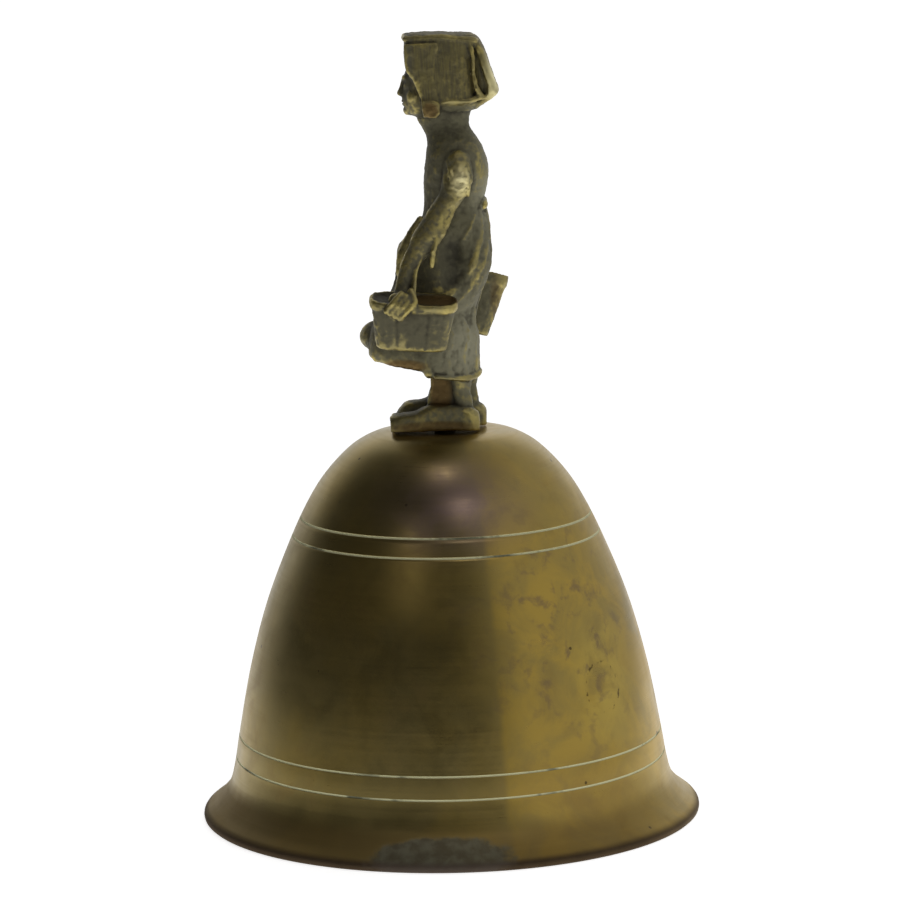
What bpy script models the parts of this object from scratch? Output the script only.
"""A figural brass hand bell: a turned bell with a cast figure of a girl with two pails as its handle.

The frame: origin at the centre of the mouth, on the table; +Z up along the bell's axis; the figure faces -X.
Lengths are in millimetres here, and MM turns them into Blender's metres.
"""

import math

import bmesh
import bpy
from mathutils import Matrix, Vector

MM = 0.001
GAP = 0.3  # between two pieces that rest on each other or turn in each other
TURNED_SIDES = 60  # facets round the bell
SMALL_SIDES = 20  # facets round a small turned piece
WIRE_SIDES = 8  # facets round a wire
RING_STEPS = 20  # facets round a ring of wire

# The bell
MOUTH_RADIUS = 35.0
RIM_INNER_RADIUS = 33.3  # inner edge of the flat ring that the bell stands on
CROWN_Z = 54.5  # the flat top that the figure stands on
CROWN_FLAT_RADIUS = 7.5
CROWN_WALL = 2.2
SIDE_WALL = 1.7
BOLT_HOLE_RADIUS = 1.9
GROOVE_DEPTH = 0.25
GROOVE_HALF_WIDTH = 0.3
GROOVE_HEIGHTS = (42.6, 40.1, 11.9, 8.8)

# The eye bolt that joins figure, bell and clapper, with its washer and nut
BOLT_RADIUS = BOLT_HOLE_RADIUS - GAP
BOLT_TOP_Z = 57.5
WASHER_RADIUS = 5.6
WASHER_THICKNESS = 0.8
NUT_ACROSS_FLATS = 7.0
NUT_THICKNESS = 2.4
EYE_WIRE = 0.6
EYE_RADIUS = 2.6
EYE_Z = 45.0  # centre of the eye, a ring in the XZ plane

# The clapper: a wire link in the YZ plane, then a wire stem with a ring at its top and a ball on its end
LINK_WIRE = 0.5
LINK_RADIUS = 2.6
LINK_TOP_Z = EYE_Z - EYE_RADIUS + EYE_WIRE + GAP + LINK_WIRE
LINK_BOTTOM_Z = LINK_TOP_Z - 2 * LINK_RADIUS
RING_WIRE = 0.6
RING_RADIUS = 2.2
RING_TOP_Z = LINK_BOTTOM_Z + LINK_WIRE + GAP + RING_WIRE
STEM_RADIUS = 0.9
BALL_Z = 8.6
BALL_RADIUS = 5.7
BALL_NECK_RADIUS = 2.2
BALL_NECK_HEIGHT = 1.8
RIVET_RADIUS = 1.9
RIVET_HEIGHT = 0.9

# The figure
FIGURE_BASE_Z = CROWN_Z + GAP
FIGURE_VOXEL = 0.34
FIGURE_TRIANGLES_SHARE = 0.055

BRASS = (0.26, 0.19, 0.07, 1.0)
CAST_BRASS = (0.30, 0.25, 0.12, 1.0)
IRON = (0.16, 0.14, 0.12, 1.0)


# ---------------------------------------------------------------- scene, materials and objects


def clear_scene():
    for obj in list(bpy.data.objects):
        bpy.data.objects.remove(obj)


def metal(name, colour, roughness):
    material = bpy.data.materials.new(name)
    material.use_nodes = True
    shader = material.node_tree.nodes["Principled BSDF"]
    shader.inputs["Base Color"].default_value = colour
    shader.inputs["Roughness"].default_value = roughness
    shader.inputs["Metallic"].default_value = 1.0
    return material


def add_object(name, mesh, material=None, parent=None):
    obj = bpy.data.objects.new(name, mesh)
    bpy.context.scene.collection.objects.link(obj)
    if material:
        mesh.materials.append(material)
    if parent:
        obj.parent = parent
        obj.matrix_parent_inverse = parent.matrix_world.inverted()
    return obj


def add_pivot(name, place, parent=None):
    """An empty on a joint's axis."""
    empty = bpy.data.objects.new(name, None)
    bpy.context.scene.collection.objects.link(empty)
    empty.location = Vector(place) * MM
    bpy.context.view_layer.update()
    if parent:
        empty.parent = parent
        empty.matrix_parent_inverse = parent.matrix_world.inverted()
        bpy.context.view_layer.update()
    return empty


def add_cutter(name, mesh):
    cutter = add_object(name, mesh)
    cutter.hide_render = True
    cutter.display_type = "WIRE"
    return cutter


def cut(obj, cutter):
    modifier = obj.modifiers.new("cut_" + cutter.name, "BOOLEAN")
    modifier.operation = "DIFFERENCE"
    modifier.object = cutter


def join(obj, other):
    modifier = obj.modifiers.new("join_" + other.name, "BOOLEAN")
    modifier.operation = "UNION"
    modifier.object = other


def mesh_from(name, bm, smooth_below=None):
    """Turns a bmesh in millimetres into a mesh in metres, with its faces outwards."""
    bmesh.ops.recalc_face_normals(bm, faces=bm.faces)
    bmesh.ops.transform(bm, matrix=Matrix.Scale(MM, 4), verts=bm.verts)
    mesh = bpy.data.meshes.new(name)
    bm.to_mesh(mesh)
    bm.free()
    if smooth_below:
        mesh.shade_smooth()
        mesh.set_sharp_from_angle(angle=math.radians(smooth_below))
    return mesh


# ---------------------------------------------------------------- shape helpers, in millimetres


def turned(profile, sides):
    """A bmesh turned about Z. The profile is a closed loop of (radius, z), and none of it is on the axis."""
    bm = bmesh.new()
    rings = []
    for step in range(sides):
        turn = math.tau * step / sides
        ring = [bm.verts.new((r * math.cos(turn), r * math.sin(turn), z)) for r, z in profile]
        rings.append(ring)
    bridge(bm, rings, closed_ring=True, closed_row=True)
    return bm


def bridge(bm, rings, closed_ring, closed_row):
    """Faces between neighbouring rings of vertices."""
    count = len(rings[0])
    for i in range(len(rings) if closed_row else len(rings) - 1):
        first = rings[i]
        second = rings[(i + 1) % len(rings)]
        for k in range(count if closed_ring else count - 1):
            after = (k + 1) % count
            bm.faces.new((first[k], first[after], second[after], second[k]))


def lathe(bm, profile, sides, centre=(0.0, 0.0)):
    """Adds a solid turned about a vertical line; the profile runs along it from one flat end to the other."""
    rings = []
    for radius, z in profile:
        ring = []
        for step in range(sides):
            turn = math.tau * step / sides
            x = centre[0] + radius * math.cos(turn)
            y = centre[1] + radius * math.sin(turn)
            ring.append(bm.verts.new((x, y, z)))
        rings.append(ring)
    bridge(bm, rings, closed_ring=True, closed_row=False)
    bm.faces.new(rings[0])
    bm.faces.new(rings[-1])


def tube(bm, path, radii, sides, closed=False):
    """Adds a tube along a path of points, with a radius at each point."""
    points = [Vector(p) for p in path]
    count = len(points)
    rings = []
    side = None
    for i, point in enumerate(points):
        before = points[i - 1] if (closed or i > 0) else point
        after = points[(i + 1) % count] if (closed or i < count - 1) else point
        along = (after - before).normalized()
        if side is None:
            helper = Vector((1, 0, 0)) if abs(along.x) < 0.9 else Vector((0, 1, 0))
            side = along.cross(helper).normalized()
        side = (side - along * side.dot(along)).normalized()
        other = along.cross(side)
        radius = radii[i] if isinstance(radii, (list, tuple)) else radii
        ring = []
        for step in range(sides):
            turn = math.tau * step / sides
            out = side * math.cos(turn) + other * math.sin(turn)
            ring.append(bm.verts.new(point + radius * out))
        rings.append(ring)
    bridge(bm, rings, closed_ring=True, closed_row=closed)
    if not closed:
        bm.faces.new(rings[0])
        bm.faces.new(rings[-1])


def ellipsoid(bm, centre, radii, turn_y=0.0):
    """Adds an ellipsoid, turned by turn_y degrees about Y."""
    place = Matrix.Translation(Vector(centre)) @ Matrix.Rotation(math.radians(turn_y), 4, "Y")
    place = place @ Matrix.Diagonal((*radii, 1.0))
    bmesh.ops.create_uvsphere(bm, u_segments=20, v_segments=12, radius=1.0, matrix=place)


def ribs(bm, sections, sides=28, power=2.3):
    """Adds a body lofted through ribs. A rib is (front x, front z, back x, back z, half width, centre y):
    its ends in the side view, and how far it reaches to each side."""
    rings = []
    for front_x, front_z, back_x, back_z, half_width, centre_y in sections:
        middle = Vector(((front_x + back_x) / 2, centre_y, (front_z + back_z) / 2))
        half = Vector(((front_x - back_x) / 2, 0.0, (front_z - back_z) / 2))
        ring = []
        for step in range(sides):
            turn = math.tau * step / sides
            c = math.copysign(abs(math.cos(turn)) ** (2 / power), math.cos(turn))
            s = math.copysign(abs(math.sin(turn)) ** (2 / power), math.sin(turn))
            ring.append(bm.verts.new(middle + half * c + Vector((0.0, half_width * s, 0.0))))
        rings.append(ring)
    bridge(bm, rings, closed_ring=True, closed_row=False)
    bm.faces.new(rings[0])
    bm.faces.new(rings[-1])


def smooth_curve(knots, steps):
    """Points on a Catmull-Rom curve through (z, radius) knots, steps to each span, as (radius, z)."""
    points = []
    for i in range(len(knots) - 1):
        a = knots[max(i - 1, 0)]
        b = knots[i]
        c = knots[i + 1]
        d = knots[min(i + 2, len(knots) - 1)]
        for step in range(steps):
            t = step / steps
            z, r = (
                0.5 * (2 * b[k] + (c[k] - a[k]) * t + (2 * a[k] - 5 * b[k] + 4 * c[k] - d[k]) * t**2
                       + (3 * b[k] - a[k] - 3 * c[k] + d[k]) * t**3)
                for k in (0, 1)
            )
            points.append((r, z))
    points.append((knots[-1][1], knots[-1][0]))
    return points


# ---------------------------------------------------------------- the bell

# The outer wall, from the flat crown down to the flare above the lip, as (z, radius)
OUTER_KNOTS = (
    (54.5, 7.5), (53.9, 10.2), (52.0, 13.4), (48.3, 16.9), (44.0, 19.6), (38.0, 22.4),
    (30.0, 25.5), (21.0, 27.95), (12.0, 29.7), (7.6, 30.45), (4.6, 31.3), (2.6, 32.9), (1.5, 34.3),
)
INNER_KNOTS = (
    (52.3, 7.4), (50.3, 12.4), (46.3, 16.1), (38.0, 20.7), (30.0, 23.8), (21.0, 26.2),
    (12.0, 27.9), (7.0, 28.9), (3.4, 30.6), (1.2, 32.4),
)
LIP = ((34.9, 1.0), (35.0, 0.55), (34.8, 0.0))


def with_grooves(points):
    """The same outer profile, with a V cut at each groove's height."""
    half = GROOVE_HALF_WIDTH
    found = []
    for (r0, z0), (r1, z1) in zip(points, points[1:]):
        found.append((r0, z0))
        for height in GROOVE_HEIGHTS:
            if z1 < height <= z0:
                slope = (r1 - r0) / (z1 - z0)
                for offset, depth in ((half, 0.0), (0.0, GROOVE_DEPTH), (-half, 0.0)):
                    z = height + offset
                    found.append((r0 + slope * (z - z0) - depth, z))
    found.append(points[-1])
    found.sort(key=lambda point: -point[1])
    return found


def build_bell(material):
    outer = with_grooves(smooth_curve(OUTER_KNOTS, 1))
    inner = smooth_curve(INNER_KNOTS, 1)
    inner.reverse()
    crown_inner_z = CROWN_Z - CROWN_WALL
    profile = [(BOLT_HOLE_RADIUS, CROWN_Z)] + outer + list(LIP) + [(RIM_INNER_RADIUS, 0.0)]
    profile += inner + [(BOLT_HOLE_RADIUS, crown_inner_z)]
    return add_object("bell_body", mesh_from("bell_body", turned(profile, TURNED_SIDES), 30), material)


# ---------------------------------------------------------------- the eye bolt, washer and nut


def build_washer(material):
    top = CROWN_Z - CROWN_WALL - GAP
    bottom = top - WASHER_THICKNESS
    chamfer = 0.2
    profile = [
        (BOLT_HOLE_RADIUS, top), (WASHER_RADIUS, top), (WASHER_RADIUS, bottom + chamfer),
        (WASHER_RADIUS - chamfer, bottom), (BOLT_HOLE_RADIUS, bottom),
    ]
    return add_object("crown_washer", mesh_from("crown_washer", turned(profile, 36), 30), material)


def nut_top():
    return CROWN_Z - CROWN_WALL - 2 * GAP - WASHER_THICKNESS


def build_nut(material):
    """A hexagon nut with a turned chamfer on its lower side."""
    top = nut_top()
    bottom = top - NUT_THICKNESS
    corner = NUT_ACROSS_FLATS / math.sqrt(3)
    flat = NUT_ACROSS_FLATS / 2
    bm = turned([(BOLT_HOLE_RADIUS, top), (flat, top), (flat, bottom), (BOLT_HOLE_RADIUS, bottom)], 24)
    for vert in bm.verts:
        radius = math.hypot(vert.co.x, vert.co.y)
        if radius < flat - 0.1:
            continue
        turn = math.atan2(vert.co.y, vert.co.x)
        within = (turn % (math.pi / 3)) - math.pi / 6
        reach = flat / math.cos(within)
        vert.co.x *= reach / radius
        vert.co.y *= reach / radius
        if vert.co.z < bottom + 0.1:
            vert.co.z += 0.55 * (reach - flat) / (corner - flat)
    return add_object("clamp_nut", mesh_from("clamp_nut", bm, 30), material)


def build_eye_bolt(material):
    """A threaded rod whose lower end is bent round into an eye."""
    bm = bmesh.new()
    chamfer = 0.4
    profile = [
        (BOLT_RADIUS * 0.6, EYE_Z + EYE_RADIUS - 0.3), (BOLT_RADIUS, EYE_Z + EYE_RADIUS + 0.9),
        (BOLT_RADIUS, BOLT_TOP_Z - chamfer), (BOLT_RADIUS - chamfer, BOLT_TOP_Z),
    ]
    lathe(bm, profile, SMALL_SIDES)
    bolt = add_object("eye_bolt", mesh_from("eye_bolt", bm, 30), material)
    join(bolt, add_cutter("bolt_eye", wire_ring("bolt_eye", EYE_RADIUS, EYE_WIRE, EYE_Z, "XZ")))
    return bolt


# ---------------------------------------------------------------- the clapper


def wire_ring(name, radius, wire, centre_z, plane):
    """A closed ring of wire in the XZ or the YZ plane."""
    path = []
    for step in range(RING_STEPS):
        turn = math.tau * step / RING_STEPS
        across = radius * math.sin(turn)
        height = centre_z + radius * math.cos(turn)
        path.append((across, 0.0, height) if plane == "XZ" else (0.0, across, height))
    bm = bmesh.new()
    tube(bm, path, wire, WIRE_SIDES, closed=True)
    return mesh_from(name, bm, 60)


def build_link(material, pivot):
    mesh = wire_ring("clapper_link", LINK_RADIUS, LINK_WIRE, LINK_TOP_Z - LINK_RADIUS, "YZ")
    return add_object("clapper_link", mesh, material, pivot)


def build_stem(material, pivot):
    """The clapper's wire: a ring in the XZ plane, a straight stem, and a riveted head under the ball."""
    ring_centre = RING_TOP_Z - RING_RADIUS
    rivet_top = BALL_Z - BALL_RADIUS - GAP + 0.35
    stem_top = ring_centre - RING_RADIUS + 0.2
    profile = [
        (RIVET_RADIUS * 0.55, rivet_top - RIVET_HEIGHT), (RIVET_RADIUS, rivet_top - RIVET_HEIGHT * 0.45),
        (RIVET_RADIUS, rivet_top), (STEM_RADIUS, rivet_top), (STEM_RADIUS, stem_top - 1.6),
        (STEM_RADIUS + 0.15, stem_top),
    ]
    bm = bmesh.new()
    lathe(bm, profile, 14)
    stem = add_object("clapper_stem", mesh_from("clapper_stem", bm, 40), material, pivot)
    join(stem, add_cutter("stem_ring", wire_ring("stem_ring", RING_RADIUS, RING_WIRE, ring_centre, "XZ")))
    return stem


def build_ball(material, pivot):
    """A cast ball with a short neck, bored for the stem and faced flat where the rivet bears."""
    bore = STEM_RADIUS + GAP
    flat_z = BALL_Z - BALL_RADIUS + 0.35
    neck_top = BALL_Z + BALL_RADIUS + BALL_NECK_HEIGHT
    low = math.acos((BALL_Z - flat_z) / BALL_RADIUS)
    high = math.asin(BALL_NECK_RADIUS / BALL_RADIUS)
    steps = 10
    outer = []
    for step in range(steps + 1):
        turn = high + (math.pi - low - high) * step / steps
        outer.append((BALL_RADIUS * math.sin(turn), BALL_Z + BALL_RADIUS * math.cos(turn)))
    profile = [(bore, neck_top), (BALL_NECK_RADIUS - 0.3, neck_top), (BALL_NECK_RADIUS, neck_top - 0.4)]
    profile += outer + [(bore, flat_z)]
    return add_object("clapper_ball", mesh_from("clapper_ball", turned(profile, 24), 40), material, pivot)


# ---------------------------------------------------------------- the figure


# Body from the neck to the hem: front x, front z, back x, back z, half width, centre y
BODY_RIBS = (
    (-2.2, 99.8, 4.9, 99.8, 2.9, 0.0), (-2.7, 97.9, 4.4, 97.9, 2.6, 0.0), (-2.2, 96.7, 4.35, 96.8, 2.5, 0.0),
    (-1.8, 95.6, 4.9, 95.8, 2.9, 0.0), (-1.6, 94.4, 5.8, 94.4, 4.0, 0.0), (-1.7, 92.8, 6.5, 92.8, 4.9, 0.0),
    (-1.9, 90.8, 6.9, 90.8, 5.0, 0.0), (-2.0, 88.6, 6.7, 88.8, 4.5, 0.0), (-2.1, 86.4, 6.3, 86.5, 3.9, 0.0),
    (-2.2, 85.2, 6.3, 85.2, 3.9, 0.0), (-2.7, 83.8, 6.6, 84.0, 4.2, 0.2), (-4.3, 82.0, 6.8, 82.3, 4.8, 0.5),
    (-5.8, 80.4, 7.0, 80.6, 5.2, 0.7), (-6.0, 79.2, 7.1, 79.2, 5.4, 0.7), (-5.8, 77.6, 6.9, 77.6, 5.4, 0.5),
    (-6.0, 75.6, 6.1, 75.6, 5.3, 0.2), (-7.2, 73.2, 5.2, 73.0, 5.2, 0.0), (-8.9, 70.6, 4.9, 70.4, 5.2, 0.0),
    (-10.0, 68.4, 5.4, 67.6, 5.4, 0.0), (-10.4, 66.6, 5.1, 65.6, 5.5, 0.0),
    (-10.4, 65.4, 5.2, 63.4, 5.5, 0.0),
    (-9.6, 64.5, 4.8, 61.9, 5.2, 0.0), (-8.0, 64.6, 3.6, 62.4, 4.2, 0.0),
)
BONNET_RIBS = (
    (-3.6, 109.5, 5.0, 109.4, 3.3, 0.0), (-4.3, 109.0, 5.7, 108.8, 4.1, 0.0),
    (-4.45, 108.0, 5.7, 107.6, 4.4, 0.0),
    (-4.45, 106.2, 5.5, 106.0, 4.6, 0.0), (-4.15, 104.2, 5.5, 104.2, 4.7, 0.0),
    (-3.3, 102.4, 5.6, 102.4, 4.7, 0.0),
    (-2.7, 101.0, 5.9, 101.0, 4.6, 0.0), (-2.4, 99.9, 6.1, 99.9, 4.4, 0.0), (-1.6, 99.3, 5.4, 99.6, 3.8, 0.0),
)
BONNET_FLAP_RIBS = (
    (4.6, 109.0, 5.9, 108.6, 3.6, 0.0), (5.3, 107.4, 6.7, 107.0, 3.9, 0.0),
    (6.2, 105.2, 7.5, 105.0, 4.0, 0.0),
    (6.8, 103.2, 8.2, 103.0, 4.0, 0.0), (6.9, 101.8, 8.45, 101.7, 3.9, 0.0),
    (6.3, 100.9, 7.9, 100.8, 3.7, 0.0),
    (5.2, 100.3, 6.7, 99.9, 3.4, 0.0), (4.2, 100.2, 5.4, 99.3, 3.0, 0.0),
)
BONNET_WEB_RIBS = (
    (4.6, 108.0, 6.2, 107.6, 3.0, 0.0), (4.8, 105.0, 7.2, 105.0, 2.7, 0.0),
    (4.9, 102.4, 7.6, 102.3, 2.7, 0.0),
    (4.8, 100.6, 6.6, 100.5, 2.9, 0.0),
)
# Limbs and rounded parts of the near (-Y) and far (+Y) side
NEAR_ARM = ((2.7, -4.4, 91.2, 2.0), (2.0, -5.6, 88.4, 2.3), (0.9, -6.3, 85.4, 2.1), (-0.9, -7.0, 82.2, 2.05),
            (-3.0, -7.6, 79.6, 1.9), (-4.3, -8.0, 77.0, 1.45), (-5.2, -8.2, 74.8, 1.3),
            (-5.6, -8.3, 73.4, 1.4))
FAR_ARM = ((2.7, 4.4, 91.2, 2.0), (2.9, 5.7, 88.4, 2.3), (3.0, 6.6, 85.0, 2.0), (3.1, 7.2, 81.5, 1.8),
           (3.2, 7.6, 78.6, 1.45), (3.2, 7.8, 75.6, 1.4))
LEGS = ((2.5, -2.1, 1.35), (3.45, 1.7, 1.35))  # x, y, radius
LEG_TOP_Z = 64.5
CLOGS = ((-1.6, -2.5, 6.1), (-0.3, 2.0, 6.2))  # centre x, centre y, half length
CLOG_HALF_WIDTH = 2.3


def pail(bm, centre, lean_x, lean_y):
    """An open tub with straight tapering sides and a raised rim, leaning by two angles in degrees."""
    place = Matrix.Translation(Vector(centre)) @ Matrix.Rotation(math.radians(lean_y), 4, "Y")
    place = place @ Matrix.Rotation(math.radians(lean_x), 4, "X")
    # half length, half width, height above the middle
    levels = (
        (4.3, 1.7, -4.1), (4.75, 2.1, -3.8), (5.55, 2.6, 2.2), (5.95, 2.95, 2.5), (6.05, 3.05, 4.0),
        (5.5, 2.5, 4.1), (5.0, 2.0, 1.9),
    )
    sides = 28
    rings = []
    for half_length, half_width, height in levels:
        ring = []
        for step in range(sides):
            turn = math.tau * step / sides
            c = math.copysign(abs(math.cos(turn)) ** 0.6, math.cos(turn))
            s = math.copysign(abs(math.sin(turn)) ** 0.6, math.sin(turn))
            ring.append(bm.verts.new(place @ Vector((half_length * c, half_width * s, height))))
        rings.append(ring)
    bridge(bm, rings, closed_ring=True, closed_row=False)
    bm.faces.new(rings[0])
    bm.faces.new(rings[-1])


def clog(bm, centre_x, centre_y, half_length):
    """A wooden shoe: a rounded slab with a raised toe at its front, and a heel."""
    bottom = FIGURE_BASE_Z - 0.6
    front = centre_x - half_length
    back = centre_x + half_length
    sections = (
        (front + 0.5, 57.3, front + 0.9, bottom, 1.4), (front, 57.7, front + 0.2, bottom, 1.9),
        (front + 2.6, 58.1, front + 2.6, bottom, CLOG_HALF_WIDTH),
        (centre_x + 0.8, 58.5, centre_x + 0.8, bottom, 2.2),
        (back - 2.2, 58.0, back - 2.0, bottom, 2.1), (back - 0.3, 57.0, back - 0.2, bottom, 1.6),
    )
    rings = []
    for top_x, top_z, low_x, low_z, half_width in sections:
        ring = []
        for step in range(16):
            turn = math.tau * step / 16
            share = (1 + math.copysign(abs(math.cos(turn)) ** 0.7, math.cos(turn))) / 2
            x = low_x + (top_x - low_x) * share
            z = low_z + (top_z - low_z) * share
            y = centre_y + half_width * math.copysign(abs(math.sin(turn)) ** 0.7, math.sin(turn))
            ring.append(bm.verts.new((x, y, z)))
        rings.append(ring)
    bridge(bm, rings, closed_ring=True, closed_row=False)
    bm.faces.new(rings[0])
    bm.faces.new(rings[-1])


def block(bm, low, high):
    low = Vector(low)
    high = Vector(high)
    place = Matrix.Translation((low + high) / 2) @ Matrix.Diagonal((*(high - low), 1.0))
    bmesh.ops.create_cube(bm, size=1.0, matrix=place)


def build_figure(material):
    """The casting: overlapping forms made one skin by a voxel remesh, smoothed as a worn casting is."""
    bm = bmesh.new()
    ribs(bm, BODY_RIBS)
    ribs(bm, BONNET_RIBS, power=3.0)
    ribs(bm, BONNET_FLAP_RIBS, power=3.0)
    ribs(bm, BONNET_WEB_RIBS, power=3.0)
    ellipsoid(bm, (-0.9, 0.0, 101.9), (3.8, 3.1, 4.3))  # head
    ellipsoid(bm, (-3.0, 0.0, 99.3), (1.7, 1.9, 1.5), 20.0)  # jaw
    ellipsoid(bm, (-4.6, 0.0, 101.4), (0.65, 0.55, 1.0), 25.0)  # nose
    for arm in (NEAR_ARM, FAR_ARM):
        tube(bm, [point[:3] for point in arm], [point[3] for point in arm], 14)
        shoulder = Vector(arm[0][:3]) + Vector((0.1, 0.25 * math.copysign(1, arm[0][1]), -1.9))
        ellipsoid(bm, shoulder, (2.3, 1.8, 2.7))
    ellipsoid(bm, (-5.8, -8.9, 72.9), (2.0, 1.7, 1.5))  # near hand
    ellipsoid(bm, (3.0, 8.4, 75.0), (2.0, 1.7, 1.5))  # far hand
    pail(bm, (-3.9, -8.2, 70.4), 14.0, 3.0)
    pail(bm, (2.75, 8.0, 71.5), -8.0, 12.0)
    ellipsoid(bm, (-8.7, 2.6, 67.1), (2.8, 3.2, 2.2))  # front fold of the skirt
    ellipsoid(bm, (6.1, 0.4, 85.9), (0.8, 2.2, 1.3))  # bow at the back of the waist
    for x, y, radius in LEGS:
        tube(bm, [(x, y, FIGURE_BASE_Z), (x, y, LEG_TOP_Z)], radius, 16)
    for centre_x, centre_y, half_length in CLOGS:
        clog(bm, centre_x, centre_y, half_length)
    block(bm, (-1.6, -2.4, FIGURE_BASE_Z), (3.4, 2.0, LEG_TOP_Z))  # web between the legs
    block(bm, (-6.2, -2.6, FIGURE_BASE_Z - 0.6), (4.2, 2.2, 57.0))  # web between the clogs
    figure = add_object("figure_handle", mesh_from("figure_handle", bm), material)

    skin = figure.modifiers.new("one_skin", "REMESH")
    skin.mode = "VOXEL"
    skin.voxel_size = FIGURE_VOXEL * MM
    soften = figure.modifiers.new("soften", "SMOOTH")
    soften.factor = 0.5
    soften.iterations = 3
    fewer = figure.modifiers.new("fewer_faces", "DECIMATE")
    fewer.ratio = FIGURE_TRIANGLES_SHARE

    bm = bmesh.new()
    block(bm, (-30.0, -30.0, FIGURE_BASE_Z - 5.0), (30.0, 30.0, FIGURE_BASE_Z))
    cut(figure, add_cutter("figure_foot_plane", mesh_from("figure_foot_plane", bm)))
    bm = bmesh.new()
    lathe(bm, [(BOLT_HOLE_RADIUS, FIGURE_BASE_Z - 1.0), (BOLT_HOLE_RADIUS, BOLT_TOP_Z + GAP)], SMALL_SIDES)
    cut(figure, add_cutter("figure_bolt_hole", mesh_from("figure_bolt_hole", bm)))
    return figure


def main():
    clear_scene()
    brass = metal("turned_brass", BRASS, 0.42)
    cast = metal("cast_brass", CAST_BRASS, 0.5)
    iron = metal("iron", IRON, 0.5)
    build_bell(brass)
    build_figure(cast)
    build_eye_bolt(iron)
    build_washer(brass)
    build_nut(brass)
    turn = add_pivot("link_turn_pivot", (0.0, 0.0, LINK_TOP_Z))
    swing = add_pivot("clapper_swing_pivot", (0.0, 0.0, LINK_BOTTOM_Z), turn)
    build_link(iron, turn)
    build_stem(iron, swing)
    build_ball(brass, swing)


main()
